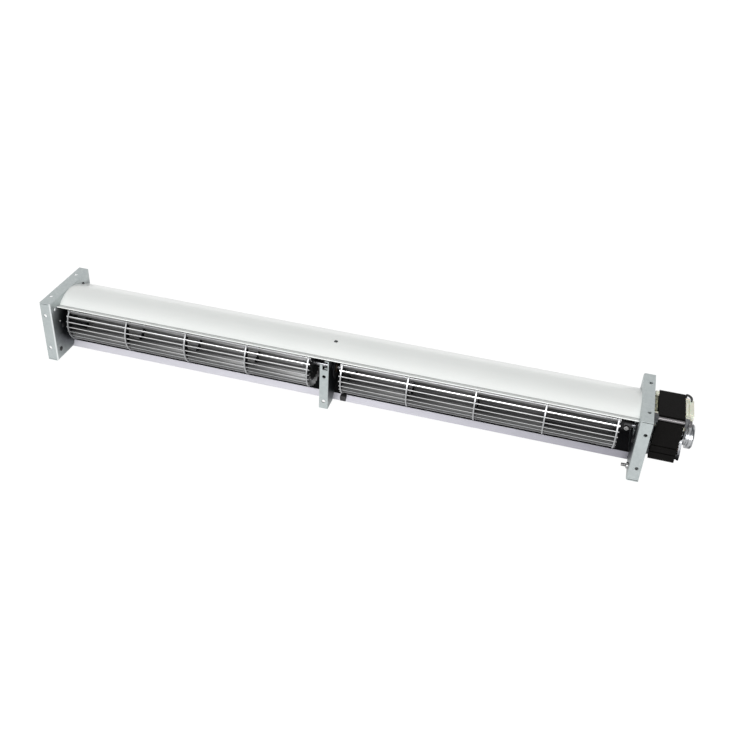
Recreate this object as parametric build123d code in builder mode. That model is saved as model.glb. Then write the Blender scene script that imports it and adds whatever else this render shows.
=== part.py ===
from build123d import *
import os

# Cross flow fan: two bladed wheels on one axis between two flanged end plates, under a folded casing,
# with a bearing bracket in the middle and a shaded-pole motor on the right plate.
# Millimetres. X runs along the wheels towards the motor, Y to the back, Z up.
# The origin is the centre of the four holes in the bottom flanges, on the face they stand on.

os.makedirs("parts", exist_ok=True)


# End plates: galvanised sheet pans, flanges folded outward

inner_length = 697.0  # between the two plates' inner faces
plate_height = 82.0
plate_depth = 94.0
plate_thickness = 1.2
flange_width = 13.5  # from the inner face to the flange's free edge
bend_radius = 0.8  # inside of every fold
corner_gap = 0.8  # slot between two neighbouring flanges
flange_hole_radius = 2.15
flange_hole_reach = 8.5  # hole centre from the inner face
flange_spacing_y = 58.0  # between the two holes of a top or bottom flange
flange_spacing_z = 46.0  # between the two holes of a front flange
web_hole_radius = 2.0
web_hole_front_inset = 9.5  # from the plate's front edge
web_hole_back_inset = 17.6  # from the plate's back edge
web_hole_height = 12.7  # of the lower pair, the upper pair lies as far above the shaft

axis_height = plate_height / 2
inner_face = inner_length / 2
outer_face = inner_face + plate_thickness
web_hole_front = plate_depth / 2 - web_hole_front_inset
web_hole_back = plate_depth / 2 - web_hole_back_inset
web_hole_rise = 2 * (axis_height - web_hole_height)

# Shaft line

shaft_radius = 3.0
running_clearance = 0.05  # between a shaft and its bush, on the radius
bearing_radius = 7.0
bearing_length = 7.0
grommet_neck_radius = 12.0
grommet_flange_radius = 14.5
grommet_flange = 2.5  # thickness of the rubber's collar on the sheet

# Wheels

wheel_radius = 30.0
ring_depth = 1.0
ring_width = 1.5
ring_count = 5
blade_count = 26
blade_thickness = 0.6
blade_inner_radius = 21.6
blade_curve = 9.5  # radius of a blade's arc
blade_phase = 6.3  # turn of the first blade, degrees
blade_overhang = 2.5  # blade ends past the end rings' middles
left_wheel_gap = 9.0  # end ring's middle to the left plate
right_wheel_gap = 19.7  # end ring's middle to the right plate
middle_wheel_gap = 41.3  # between the two wheels' inner end rings
left_wheel_share = 0.4957  # of the two wheels' length
hub_radius = 7.0
hub_length = 12.0

both_wheels = inner_length - left_wheel_gap - middle_wheel_gap - right_wheel_gap
left_wheel_length = both_wheels * left_wheel_share
right_wheel_length = both_wheels - left_wheel_length
blade_outer_radius = wheel_radius - ring_depth
left_wheel_start = -inner_face + left_wheel_gap
left_wheel_end = left_wheel_start + left_wheel_length
right_wheel_end = inner_face - right_wheel_gap
right_wheel_start = right_wheel_end - right_wheel_length
wheels = [(left_wheel_start, left_wheel_length), (right_wheel_start, right_wheel_length)]

# Casing: one folded sheet

casing_radius = 39.0  # outside, concentric with the wheels
casing_thickness = 1.0
lip_angle = 133.0  # where the arc meets the front lip, from +Y
slope_angle = 64.0  # where the arc runs out into the back slope
lip_width = 6.4
lip_rise = 1.7
casing_inset = 1.0  # back wall and lower edges lie inside the plates' outline
back_bend_radius = 6.0
casing_hole_radius = 2.2
casing_hole_angle = 97.5
tab_length = 12.0
tab_depth = 6.5
back_tab_height = 28.0

casing_inner_radius = casing_radius - casing_thickness
back_wall = plate_depth / 2 - casing_inset

# Tongue plate: the outlet's front wall, its tip close under the wheels

tongue_thickness = 1.0
tongue_gap = 4.4  # tip to the wheels' rings
tongue_angle = -100.0  # of the tip, from +Y
tongue_foot = -11.2
tongue_return = 5.0
tongue_tab = 4.0

# Middle bracket between the wheels

bracket_gap = 27.7  # left wheel's end ring to the right face of the bracket's web
bracket_thickness = 1.2
bracket_front = 32.0  # in front of the axis
bracket_flange_width = 10.7
bracket_flange_height = 55.0
bracket_hole_radius = 2.2
bracket_hole_low = 10.4
bracket_hole_high = 45.6
bracket_clearance = 0.5  # to the casing and the tongue
bracket_back = 18.0
bracket_arm_height = 26.0  # lower end of the web's back edge
ear_width = 3.2
ear_height = 7.0
shelf_height = 58.0
shelf_depth = 6.0
shelf_width = 5.0

bracket_face = left_wheel_end + bracket_gap
web_start = bracket_face - bracket_thickness

# Motor

motor_gap = 17.7  # plate to core
core_length = 28.0
core_width = 52.0
core_below = 21.0  # core's underside to the shaft
core_above = 36.0  # shaft to the core's top
core_bore_radius = 13.5
rotor_gap = 0.5
yoke_height = 8.5
leg_width = 8.5
pole_width = 16.0
window_height = 9.0
groove_depth = 1.2
groove_height = 1.6
groove_drop = 2.4  # upper groove below the shaft
groove_pitch = 9.0
shading_bar = 2.0
shading_near = 3.5  # bars' distances from the shaft's vertical plane
shading_far = 10.0
shading_rise = 16.0  # bars above or below the shaft
shading_strap = 1.2
bobbin_wall = 1.2
bobbin_flange = 1.0
bobbin_clearance = 0.1
coil_reach = 4.6  # coil past the core's faces
coil_end_rise = 8.0  # winding's end on the plate's side above the bobbin's top flange
cheek_thickness = 1.8  # bobbin walls in front of and behind the winding's ends
cheek_rise = 8.8  # above the top flange
terminal_gap = 0.6  # terminal block to the core
terminal_reach = 9.4  # terminal block past the core
terminal_front = 12.5  # block's front face to the shaft's vertical plane
terminal_rise = 8.1  # above the top flange
bolt_radius = 2.0
bolt_clearance = 0.1
bolt_head_across = 7.0
bolt_head_height = 2.8
upper_bolt_y = 24.5
upper_bolt_rise = 33.0
lower_bolt_y = 19.0
lower_bolt_drop = 15.0
notch_width = 4.2  # in the core's top front edge, for the upper bolt
notch_height = 5.6
bracket_standoff = 2.0  # bracket plates to the core
bracket_plate = 2.5
pad_width = 8.0  # square pads and legs of the castings
arm_width = 7.0
mount_spacing = 52.0  # between the two screws that hold the motor
mount_ear_width = 10.0
motor_bearing_radius = 6.0
motor_bearing_length = 9.0
boss_radius = 11.0
inner_boss_gap = 1.5  # boss to the plate
rim_radius = 14.0
neck_length = 4.0
rim_length = 7.3
rim_chamfer = 1.4
cap_recess_radius = 9.0
cap_recess_depth = 1.5
screw_head_height = 2.3
mount_screw_length = 9.0
plate_screw_length = 9.0
lead_radius = 1.2
lead_inset = 6.0  # lead's ends from the back cheek's outside and the block's top
lead_rise = 4.0
lead_bend = 3.5

core_start = outer_face + motor_gap
core_end = core_start + core_length
core_top = axis_height + core_above
core_bottom = axis_height - core_below
window_top = core_top - yoke_height
window_bottom = window_top - window_height
window_outer = core_width / 2 - leg_width
inner_plate_start = core_start - bracket_standoff - bracket_plate
outer_plate_start = core_end + bracket_standoff
outer_plate_end = outer_plate_start + bracket_plate
boss_start = outer_face + inner_boss_gap
rim_end = outer_plate_end + neck_length + rim_length

# Coupling between motor shaft and right wheel

coupling_rubber_radius = 7.6
coupling_rubber_length = 7.0
coupling_hub_length = 8.5

disc_face = right_wheel_end + ring_width / 2
coupling_hub_start = disc_face + coupling_rubber_length

bolt_places = [
    (-upper_bolt_y, axis_height + upper_bolt_rise),
    (lower_bolt_y, axis_height - lower_bolt_drop),
]


def across(x):
    """Plane square to the shaft at x, with its origin on the shaft."""
    return Plane(origin=(x, 0, axis_height), x_dir=(0, 1, 0), z_dir=(1, 0, 0))


def section(x):
    """Plane square to the shaft at x, with its origin at the base."""
    return Plane.YZ.offset(x)


# Right end plate

with BuildPart() as right_end_plate:
    with BuildSketch(section(inner_face)):
        with Locations((0, plate_height / 2)):
            Rectangle(plate_depth, plate_height)
    extrude(amount=flange_width)
    web_edges = faces().sort_by(Axis.X)[0].edges()
    fillet(web_edges, radius=bend_radius + plate_thickness)
    open_side = faces().sort_by(Axis.X)[-1]
    offset(amount=-plate_thickness, openings=open_side)
    # Corner slots that part the flanges
    slot_start = inner_face + plate_thickness + bend_radius
    with BuildSketch(section(slot_start)):
        with Locations((0, plate_height / 2)):
            with GridLocations(plate_depth, plate_height - 2 * plate_thickness - corner_gap, 2, 2):
                Rectangle(2 * plate_thickness, corner_gap)
    extrude(amount=flange_width, mode=Mode.SUBTRACT)
    # Bottom and top flange holes in one pass, then the front flange's
    with BuildSketch(Plane.XY):
        with Locations((inner_face + flange_hole_reach, 0)):
            with GridLocations(flange_width, flange_spacing_y, 1, 2):
                Circle(flange_hole_radius)
    extrude(amount=plate_height, mode=Mode.SUBTRACT)
    with BuildSketch(Plane.XZ):
        with Locations((inner_face + flange_hole_reach, axis_height)):
            with GridLocations(flange_width, flange_spacing_z, 1, 2):
                Circle(flange_hole_radius)
    extrude(amount=plate_depth / 2, mode=Mode.SUBTRACT)
    # Web: shaft opening, motor screws and corner holes
    with BuildSketch(across(inner_face)):
        Circle(grommet_neck_radius)
        with GridLocations(mount_spacing, plate_height, 2, 1):
            Circle(bolt_radius + bolt_clearance)
        with Locations(((web_hole_back - web_hole_front) / 2, 0)):
            with GridLocations(web_hole_front + web_hole_back, web_hole_rise, 2, 2):
                Circle(web_hole_radius)
    extrude(amount=plate_thickness, mode=Mode.SUBTRACT)
right_end_plate.part.label = "right_end_plate"

# Left end plate: the same pressing, turned to face the other way

with BuildPart() as left_end_plate:
    mirror(right_end_plate.part, about=Plane.YZ)
left_end_plate.part.label = "left_end_plate"

# Casing

with BuildPart() as casing:
    with BuildSketch(across(-inner_face)):
        with BuildLine():
            arc = CenterArc((0, 0), casing_radius, lip_angle, slope_angle - lip_angle)
            crease = arc @ 0
            Line(crease + Vector(-lip_width, lip_rise), crease)
            run = arc % 1
            slope_drop = (back_wall - (arc @ 1).X) * run.Y / run.X
            FilletPolyline(
                arc @ 1,
                (back_wall, (arc @ 1).Y + slope_drop),
                (back_wall, casing_inset - axis_height),
                radius=back_bend_radius,
            )
            offset(amount=casing_thickness, side=Side.RIGHT)
        make_face()
    extrude(amount=inner_length)
    # End tabs, folded in against both webs
    for tab_start in (-inner_face, inner_face - casing_thickness):
        with BuildSketch(across(tab_start)):
            for angle in (lip_angle - 20, slope_angle + 6):
                with PolarLocations(casing_inner_radius - tab_depth / 2, 1, angle):
                    Rectangle(tab_depth + casing_thickness / 2, tab_length)
            with Locations((back_wall - casing_thickness - tab_depth / 2, back_tab_height - axis_height)):
                Rectangle(tab_depth + casing_thickness, tab_length)
        extrude(amount=casing_thickness)
    # Hole over the middle bracket's web
    hole_axis = Vector(0, 1, 0).rotate(Axis.X, casing_hole_angle)
    with BuildSketch(Plane((bracket_face, 0, axis_height), x_dir=(1, 0, 0), z_dir=hole_axis)):
        Circle(casing_hole_radius)
    extrude(amount=casing_radius + casing_thickness, mode=Mode.SUBTRACT)
casing.part.label = "casing"

# Tongue plate

with BuildPart() as tongue_plate:
    with BuildSketch(across(-inner_face)):
        with BuildLine():
            tip = Vector(wheel_radius + tongue_gap, 0).rotate(Axis.Z, tongue_angle)
            foot = Vector(tongue_foot, casing_inset - axis_height)
            rise = (tip - foot).normalized()
            Polyline(foot, tip, tip + Vector(rise.X, -rise.Y) * tongue_return)
            offset(amount=tongue_thickness, side=Side.RIGHT)
        make_face()
    extrude(amount=inner_length)
    # End tabs under the strip
    for tab_start in (-inner_face, inner_face - tongue_thickness):
        with BuildSketch(across(tab_start)):
            tab_corner = foot + rise * tongue_thickness
            with Locations(tab_corner + Vector(tongue_thickness / 2, 0)):
                Rectangle(tongue_tab, tongue_tab / 2, align=(Align.MIN, Align.MIN))
        extrude(amount=tongue_thickness)
tongue_plate.part.label = "tongue_plate"

# Middle bracket

with BuildPart() as middle_bracket:
    with BuildSketch(across(web_start)):
        with BuildLine():
            crown_radius = casing_inner_radius - bracket_clearance
            crown = CenterArc((0, 0), crown_radius, lip_angle, slope_angle - lip_angle)
            front_top = Vector(-bracket_front, (crown @ 0).Y - lip_rise / 2)
            tongue_front = Vector(-bracket_clearance - tongue_thickness, 0)
            foot_front = foot + tongue_front - Vector(0, casing_inset)
            Polyline(
                crown @ 1,
                (bracket_back, (crown @ 1).Y - bracket_clearance),
                (bracket_back, bracket_arm_height - axis_height),
                tip + tongue_front,
                foot_front,
                (-bracket_front, -axis_height),
                front_top,
                crown @ 0,
            )
        make_face()
        Circle(grommet_neck_radius, mode=Mode.SUBTRACT)
    extrude(amount=bracket_thickness)
    # Front flange with its two holes, and the narrow ear above it
    with BuildSketch(Plane.XZ.offset(bracket_front)):
        with Locations((bracket_face, 0)):
            Rectangle(bracket_flange_width, bracket_flange_height, align=(Align.MAX, Align.MIN))
        with Locations((bracket_face - bracket_flange_width, bracket_flange_height)):
            Rectangle(ear_width, ear_height, align=(Align.MIN, Align.MIN))
        for height in (bracket_hole_low, bracket_hole_high):
            with Locations((bracket_face - bracket_flange_width / 2, height)):
                Circle(bracket_hole_radius, mode=Mode.SUBTRACT)
    extrude(amount=-bracket_thickness)
    # Two tabs folded off the web: a small shelf, and one under the casing's lip
    tab_top = front_top.Y + axis_height
    for height in (shelf_height, tab_top):
        with BuildSketch(Plane.XY.offset(height - bracket_thickness)):
            with Locations((bracket_face, -bracket_front)):
                Rectangle(shelf_width, shelf_depth, align=(Align.MAX, Align.MIN))
        extrude(amount=bracket_thickness)
middle_bracket.part.label = "middle_bracket"

# Rubber grommets in the left plate and in the bracket's web

left_seat = -outer_face
with BuildPart() as bearing_grommets:
    for seat, sheet in ((left_seat, plate_thickness), (web_start, bracket_thickness)):
        with BuildSketch(across(seat)):
            Circle(grommet_neck_radius)
        extrude(amount=sheet)
        with BuildSketch(across(seat)):
            Circle(grommet_flange_radius)
        extrude(amount=-grommet_flange)
        with BuildSketch(across(seat - grommet_flange)):
            Circle(bearing_radius)
        extrude(amount=sheet + grommet_flange, mode=Mode.SUBTRACT)
bearing_grommets.part.label = "bearing_grommets"

# Sintered bushes in the rubber

with BuildPart() as wheel_bearings:
    for seat, sheet in ((left_seat, plate_thickness), (web_start, bracket_thickness)):
        with BuildSketch(across(seat + sheet / 2)):
            Circle(bearing_radius)
            Circle(shaft_radius + running_clearance, mode=Mode.SUBTRACT)
        extrude(amount=bearing_length / 2, both=True)
wheel_bearings.part.label = "wheel_bearings"

# Blade section, wheel centre at the origin: an arc that leaves the hub side along the radius

with BuildSketch() as blade_section:
    with Locations((blade_inner_radius, -blade_curve)):
        Circle(blade_curve + blade_thickness / 2)
        Circle(blade_curve - blade_thickness / 2, mode=Mode.SUBTRACT)
    Circle(blade_outer_radius, mode=Mode.INTERSECT)
    Circle(blade_inner_radius, mode=Mode.SUBTRACT)
    with Locations((blade_inner_radius, -blade_curve)):
        Rectangle(2 * blade_curve, 2 * blade_curve, align=(Align.MIN, Align.MIN), mode=Mode.INTERSECT)

# Blades of both wheels

with BuildPart() as wheel_blades:
    for start, length in wheels:
        with BuildSketch(across(start - blade_overhang)):
            with PolarLocations(0, blade_count, blade_phase):
                add(blade_section.sketch)
        extrude(amount=length + 2 * blade_overhang)
wheel_blades.part.label = "wheel_blades"

# Hoops that hold the blades' outer edges

with BuildPart() as wheel_rings:
    for start, length in wheels:
        for index in range(ring_count):
            with BuildSketch(across(start + length * index / (ring_count - 1))):
                Circle(wheel_radius)
                Circle(blade_outer_radius, mode=Mode.SUBTRACT)
            extrude(amount=ring_width / 2, both=True)
wheel_rings.part.label = "wheel_rings"

# End discs: inside the blades' inner edges, hubs turned into the wheel

with BuildPart() as wheel_end_discs:
    for place, inward in (
        (left_wheel_start, 1),
        (left_wheel_end, -1),
        (right_wheel_start, 1),
        (right_wheel_end, -1),
    ):
        with BuildSketch(across(place)):
            Circle(blade_inner_radius)
        extrude(amount=ring_width / 2, both=True)
        with BuildSketch(across(place)):
            Circle(hub_radius)
        extrude(amount=inward * hub_length)
        with BuildSketch(across(place)):
            Circle(shaft_radius)
        extrude(amount=hub_length, both=True, mode=Mode.SUBTRACT)
wheel_end_discs.part.label = "wheel_end_discs"

# Shafts

with BuildPart() as left_stub_shaft:
    with BuildSketch(across(-inner_face - bearing_length)):
        Circle(shaft_radius)
    extrude(amount=left_wheel_gap + hub_length + bearing_length)
left_stub_shaft.part.label = "left_stub_shaft"

with BuildPart() as middle_shaft:
    with BuildSketch(across(left_wheel_end - hub_length)):
        Circle(shaft_radius)
    extrude(amount=right_wheel_start - left_wheel_end + 2 * hub_length)
middle_shaft.part.label = "middle_shaft"

with BuildPart() as motor_shaft:
    with BuildSketch(across(coupling_hub_start)):
        Circle(shaft_radius)
    extrude(amount=outer_plate_start + motor_bearing_length - coupling_hub_start)
motor_shaft.part.label = "motor_shaft"

# Coupling: rubber bonded to the right wheel's disc, metal hub on the motor shaft

with BuildPart() as coupling_rubber:
    with BuildSketch(across(disc_face)):
        Circle(coupling_rubber_radius)
    extrude(amount=coupling_rubber_length)
coupling_rubber.part.label = "coupling_rubber"

with BuildPart() as coupling_hub:
    with BuildSketch(across(coupling_hub_start)):
        Circle(hub_radius)
        Circle(shaft_radius, mode=Mode.SUBTRACT)
    extrude(amount=coupling_hub_length)
coupling_hub.part.label = "coupling_hub"

# Motor core: laminated stack with two windows beside the middle leg

with BuildPart() as motor_core:
    with BuildSketch(section(core_start)):
        with Locations((0, core_bottom)):
            Rectangle(core_width, core_above + core_below, align=(Align.CENTER, Align.MIN))
        with Locations((-core_width / 2, core_top)):
            Rectangle(2 * notch_width, 2 * notch_height, mode=Mode.SUBTRACT)
        for side in (-1, 1):
            for step in (0, 1):
                groove_level = axis_height - groove_drop - step * groove_pitch
                with Locations((side * core_width / 2, groove_level)):
                    Rectangle(2 * groove_depth, groove_height, mode=Mode.SUBTRACT)
            window_middle = (pole_width / 2 + window_outer) / 2
            with Locations((side * window_middle, (window_bottom + window_top) / 2)):
                Rectangle(window_outer - pole_width / 2, window_height, mode=Mode.SUBTRACT)
            for distance in (shading_near, shading_far):
                with Locations((side * distance, axis_height + side * shading_rise)):
                    Rectangle(shading_bar, shading_bar, mode=Mode.SUBTRACT)
        with Locations(bolt_places):
            Circle(bolt_radius + bolt_clearance, mode=Mode.SUBTRACT)
        with Locations((0, axis_height)):
            Circle(core_bore_radius, mode=Mode.SUBTRACT)
    extrude(amount=core_length)
motor_core.part.label = "motor_core"

# Shading rings: a closed copper loop through each pole

with BuildPart() as shading_rings:
    for side in (-1, 1):
        level = axis_height + side * shading_rise
        ring_span = shading_far - shading_near
        with BuildSketch(Plane.XY.offset(level - shading_bar / 2)):
            with Locations(((core_start + core_end) / 2, side * (shading_near + shading_far) / 2)):
                Rectangle(core_length + 2 * shading_strap, ring_span + shading_bar)
                Rectangle(core_length, ring_span - shading_bar, mode=Mode.SUBTRACT)
        extrude(amount=shading_bar)
shading_rings.part.label = "shading_rings"

# Bobbin around the middle leg, with cheeks beside the winding's ends and a terminal block on the outer side

core_middle = (core_start + core_end) / 2
bobbin_inner_length = core_length + 2 * bobbin_clearance
bobbin_inner_width = pole_width + 2 * bobbin_clearance
tube_length = bobbin_inner_length + 2 * bobbin_wall
tube_width = bobbin_inner_width + 2 * bobbin_wall
coil_width = 2 * (window_outer - bobbin_clearance)
bobbin_bottom = window_bottom + bobbin_clearance
bobbin_top = window_top - bobbin_clearance

with BuildPart() as coil_bobbin:
    with BuildSketch(Plane.XY.offset(bobbin_bottom)):
        with Locations((core_middle, 0)):
            Rectangle(core_length + 2 * coil_reach, coil_width)
    extrude(amount=bobbin_flange)
    with BuildSketch(Plane.XY.offset(bobbin_bottom)):
        with Locations((core_middle, 0)):
            Rectangle(tube_length, tube_width)
    extrude(amount=bobbin_top - bobbin_bottom)
    # The top flange stops at the tube on the plate's side, where the winding shows
    with BuildSketch(Plane.XY.offset(bobbin_top)):
        with Locations((core_middle - tube_length / 2, 0)):
            flange_length = tube_length / 2 + core_length / 2 + coil_reach
            Rectangle(flange_length, coil_width, align=(Align.MIN, Align.CENTER))
    extrude(amount=-bobbin_flange)
    with BuildSketch(Plane.XY.offset(bobbin_top - bobbin_flange)):
        with Locations((core_end + terminal_gap, -terminal_front)):
            block_size = (terminal_reach - terminal_gap, terminal_front + coil_width / 2)
            Rectangle(*block_size, align=(Align.MIN, Align.MIN))
    extrude(amount=bobbin_flange + terminal_rise)
    with BuildSketch(Plane.XY.offset(bobbin_bottom)):
        with Locations((core_middle, 0)):
            cheek_spacing = (core_length + coil_reach + terminal_gap, coil_width + cheek_thickness)
            with GridLocations(*cheek_spacing, 2, 2):
                Rectangle(coil_reach - terminal_gap, cheek_thickness)
    extrude(amount=bobbin_top + cheek_rise - bobbin_bottom)
    with BuildSketch(Plane.XY.offset(bobbin_bottom)):
        with Locations((core_middle, 0)):
            Rectangle(bobbin_inner_length, bobbin_inner_width)
    extrude(amount=bobbin_top - bobbin_bottom, mode=Mode.SUBTRACT)
coil_bobbin.part.label = "coil_bobbin"

# Winding between the bobbin's flanges

with BuildPart() as motor_coil:
    with BuildSketch(Plane.XY.offset(bobbin_bottom + bobbin_flange)):
        with Locations((core_middle, 0)):
            RectangleRounded(core_length + 2 * coil_reach, coil_width - 2 * bobbin_clearance, coil_reach / 2)
            Rectangle(tube_length, tube_width, mode=Mode.SUBTRACT)
    extrude(amount=bobbin_top - bobbin_bottom - 2 * bobbin_flange)
    # Its end on the plate's side swells up past the yoke
    coil_top = bobbin_top - bobbin_flange
    with BuildSketch(Plane.XY.offset(coil_top)):
        with Locations((core_start - coil_reach, 0)):
            end_size = (coil_reach - bobbin_wall - bobbin_clearance, coil_width - 2 * coil_reach)
            Rectangle(*end_size, align=(Align.MIN, Align.CENTER))
    extrude(amount=bobbin_flange + coil_end_rise)
motor_coil.part.label = "motor_coil"


def bracket_outline():
    """Outline shared by both motor brackets: a hub with one arm up to the front bolt and two feet."""
    arm_outer = -upper_bolt_y - arm_width / 2
    arm_inner = -upper_bolt_y + arm_width / 2
    arm_top = axis_height + upper_bolt_rise + arm_width / 2
    hub_top = window_bottom - pad_width / 2
    foot_level = axis_height - lower_bolt_drop
    foot_outer = lower_bolt_y + pad_width / 2
    foot_inner = lower_bolt_y - pad_width / 2
    foot_top = foot_level + pad_width / 2
    foot_bottom = foot_level - pad_width / 2
    waist = boss_radius + bracket_plate
    Polygon(
        (arm_outer, arm_top),
        (arm_inner, arm_top),
        (arm_inner, hub_top),
        (boss_radius, hub_top),
        (waist, axis_height),
        (foot_outer, foot_top),
        (foot_outer, foot_bottom),
        (foot_inner, foot_bottom),
        (boss_radius / 2, foot_top),
        (-boss_radius / 2, foot_top),
        (-foot_inner, foot_bottom),
        (-foot_outer, foot_bottom),
        (-foot_outer, foot_top),
        (-waist, axis_height),
        (arm_outer, hub_top),
        align=None,
    )


def bracket_pads():
    """Square pads that keep a bracket's plate off the core's face: on the bolts and the free foot."""
    with Locations(*bolt_places, (-lower_bolt_y, axis_height - lower_bolt_drop)):
        Rectangle(arm_width, arm_width)


# Inner motor bracket: bearing boss and two legs towards the plate

with BuildPart() as inner_motor_bracket:
    with BuildSketch(section(inner_plate_start)):
        bracket_outline()
        with Locations((0, axis_height)):
            Rectangle(mount_spacing + mount_ear_width, mount_ear_width)
    extrude(amount=bracket_plate)
    with BuildSketch(section(inner_plate_start)):
        bracket_pads()
    extrude(amount=bracket_plate + bracket_standoff)
    with BuildSketch(across(boss_start)):
        Circle(boss_radius)
    extrude(amount=inner_plate_start - boss_start)
    with BuildSketch(across(outer_face)):
        with GridLocations(mount_spacing, plate_height, 2, 1):
            Rectangle(pad_width, pad_width)
    extrude(amount=inner_plate_start - outer_face)
    # Bearing seat, bolt holes and the blind holes of the legs
    with BuildSketch(across(boss_start)):
        Circle(motor_bearing_radius)
    extrude(amount=core_start - boss_start, mode=Mode.SUBTRACT)
    with BuildSketch(section(inner_plate_start)):
        with Locations(bolt_places):
            Circle(bolt_radius)
    extrude(amount=bracket_plate + bracket_standoff, mode=Mode.SUBTRACT)
    with BuildSketch(across(outer_face)):
        with GridLocations(mount_spacing, plate_height, 2, 1):
            Circle(bolt_radius)
    extrude(amount=mount_screw_length, mode=Mode.SUBTRACT)
inner_motor_bracket.part.label = "inner_motor_bracket"

# Outer motor bracket: the round boss with a rim, closed at its end

with BuildPart() as outer_motor_bracket:
    with BuildSketch(section(outer_plate_start)):
        bracket_outline()
    extrude(amount=bracket_plate)
    with BuildSketch(section(core_end)):
        bracket_pads()
    extrude(amount=bracket_standoff)
    with BuildSketch(across(outer_plate_end)):
        Circle(boss_radius)
    extrude(amount=neck_length)
    with BuildSketch(across(outer_plate_end + neck_length)):
        Circle(rim_radius)
    extrude(amount=rim_length)
    chamfer(faces().sort_by(Axis.X)[-1].edges(), length=rim_chamfer)
    with BuildSketch(across(rim_end)):
        Circle(cap_recess_radius)
    extrude(amount=-cap_recess_depth, mode=Mode.SUBTRACT)
    with BuildSketch(across(outer_plate_start)):
        Circle(motor_bearing_radius)
    extrude(amount=motor_bearing_length, mode=Mode.SUBTRACT)
    with BuildSketch(section(core_end)):
        with Locations(bolt_places):
            Circle(bolt_radius + bolt_clearance)
    extrude(amount=bracket_plate + bracket_standoff, mode=Mode.SUBTRACT)
outer_motor_bracket.part.label = "outer_motor_bracket"

# Motor bushes, one in each boss

with BuildPart() as motor_bearings:
    for start in (boss_start, outer_plate_start):
        with BuildSketch(across(start)):
            Circle(motor_bearing_radius)
            Circle(shaft_radius + running_clearance, mode=Mode.SUBTRACT)
        extrude(amount=motor_bearing_length)
motor_bearings.part.label = "motor_bearings"

# Squirrel cage rotor

with BuildPart() as motor_rotor:
    with BuildSketch(across(core_start)):
        Circle(core_bore_radius - rotor_gap)
        Circle(shaft_radius, mode=Mode.SUBTRACT)
    extrude(amount=core_length)
motor_rotor.part.label = "motor_rotor"

# Long bolts that clamp bracket, core and bracket, hexagon heads outside

with BuildPart() as motor_tie_bolts:
    with BuildSketch(section(inner_plate_start)):
        with Locations(bolt_places):
            Circle(bolt_radius)
    extrude(amount=outer_plate_end - inner_plate_start)
    with BuildSketch(section(outer_plate_end)):
        with Locations(bolt_places):
            RegularPolygon(bolt_head_across / 2, 6, major_radius=False)
    extrude(amount=bolt_head_height)
motor_tie_bolts.part.label = "motor_tie_bolts"

# Screws from the wheel side of the right plate into the inner bracket's legs

with BuildPart() as motor_mount_screws:
    with BuildSketch(across(inner_face - screw_head_height)):
        with GridLocations(mount_spacing, plate_height, 2, 1):
            RegularPolygon(bolt_head_across / 2, 6, major_radius=False)
    extrude(amount=screw_head_height)
    with BuildSketch(across(inner_face)):
        with GridLocations(mount_spacing, plate_height, 2, 1):
            Circle(bolt_radius)
    extrude(amount=plate_thickness + mount_screw_length)
motor_mount_screws.part.label = "motor_mount_screws"

# Screw left in the right plate's lower front hole, its end towards the wheels

with BuildPart() as plate_screw:
    with BuildSketch(section(outer_face)):
        with Locations((-web_hole_front, web_hole_height)):
            RegularPolygon(bolt_head_across / 2, 6, major_radius=False)
    extrude(amount=screw_head_height)
    with BuildSketch(section(outer_face)):
        with Locations((-web_hole_front, web_hole_height)):
            Circle(web_hole_radius)
    extrude(amount=-plate_thickness - plate_screw_length)
plate_screw.part.label = "plate_screw"

# Short lead: out of the terminal block's top, over the back cheek and into the cheek's outside

lead_x = core_end + (terminal_gap + coil_reach) / 2
block_back = coil_width / 2 + cheek_thickness
block_top = bobbin_top + terminal_rise
with BuildPart() as motor_lead:
    with BuildLine() as lead_path:
        FilletPolyline(
            (lead_x, block_back - lead_inset, block_top),
            (lead_x, block_back - lead_inset, block_top + lead_rise),
            (lead_x, block_back + lead_inset, block_top + lead_rise),
            (lead_x, block_back + lead_inset, block_top - lead_inset),
            (lead_x, block_back, block_top - lead_inset),
            radius=lead_bend,
        )
    with BuildSketch(Plane(origin=lead_path.wire() @ 0, z_dir=(0, 0, 1))):
        Circle(lead_radius)
    sweep(path=lead_path.wire())
motor_lead.part.label = "motor_lead"

for piece in (
    right_end_plate,
    left_end_plate,
    casing,
    tongue_plate,
    middle_bracket,
    bearing_grommets,
    wheel_bearings,
    wheel_blades,
    wheel_rings,
    wheel_end_discs,
    left_stub_shaft,
    middle_shaft,
    coupling_rubber,
    coupling_hub,
    motor_core,
    shading_rings,
    coil_bobbin,
    motor_coil,
    inner_motor_bracket,
    outer_motor_bracket,
    motor_bearings,
    motor_shaft,
    motor_rotor,
    motor_tie_bolts,
    motor_mount_screws,
    plate_screw,
    motor_lead,
):
    export_step(piece.part, f"parts/{piece.part.label}.step")
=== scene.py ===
# %% [markdown]
# # A cross flow fan
#
# The fan blows a wide, flat sheet of air. Two long bladed wheels turn on one axis under a folded
# casing, between two flanged end plates, and a small motor on the right plate drives them.
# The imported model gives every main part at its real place. This lesson dresses those parts in
# their real finishes and adds the details that are too fine for the model.

# %% Load the frame
import math
import bmesh
import bpy
from mathutils import Matrix, Vector


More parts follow.
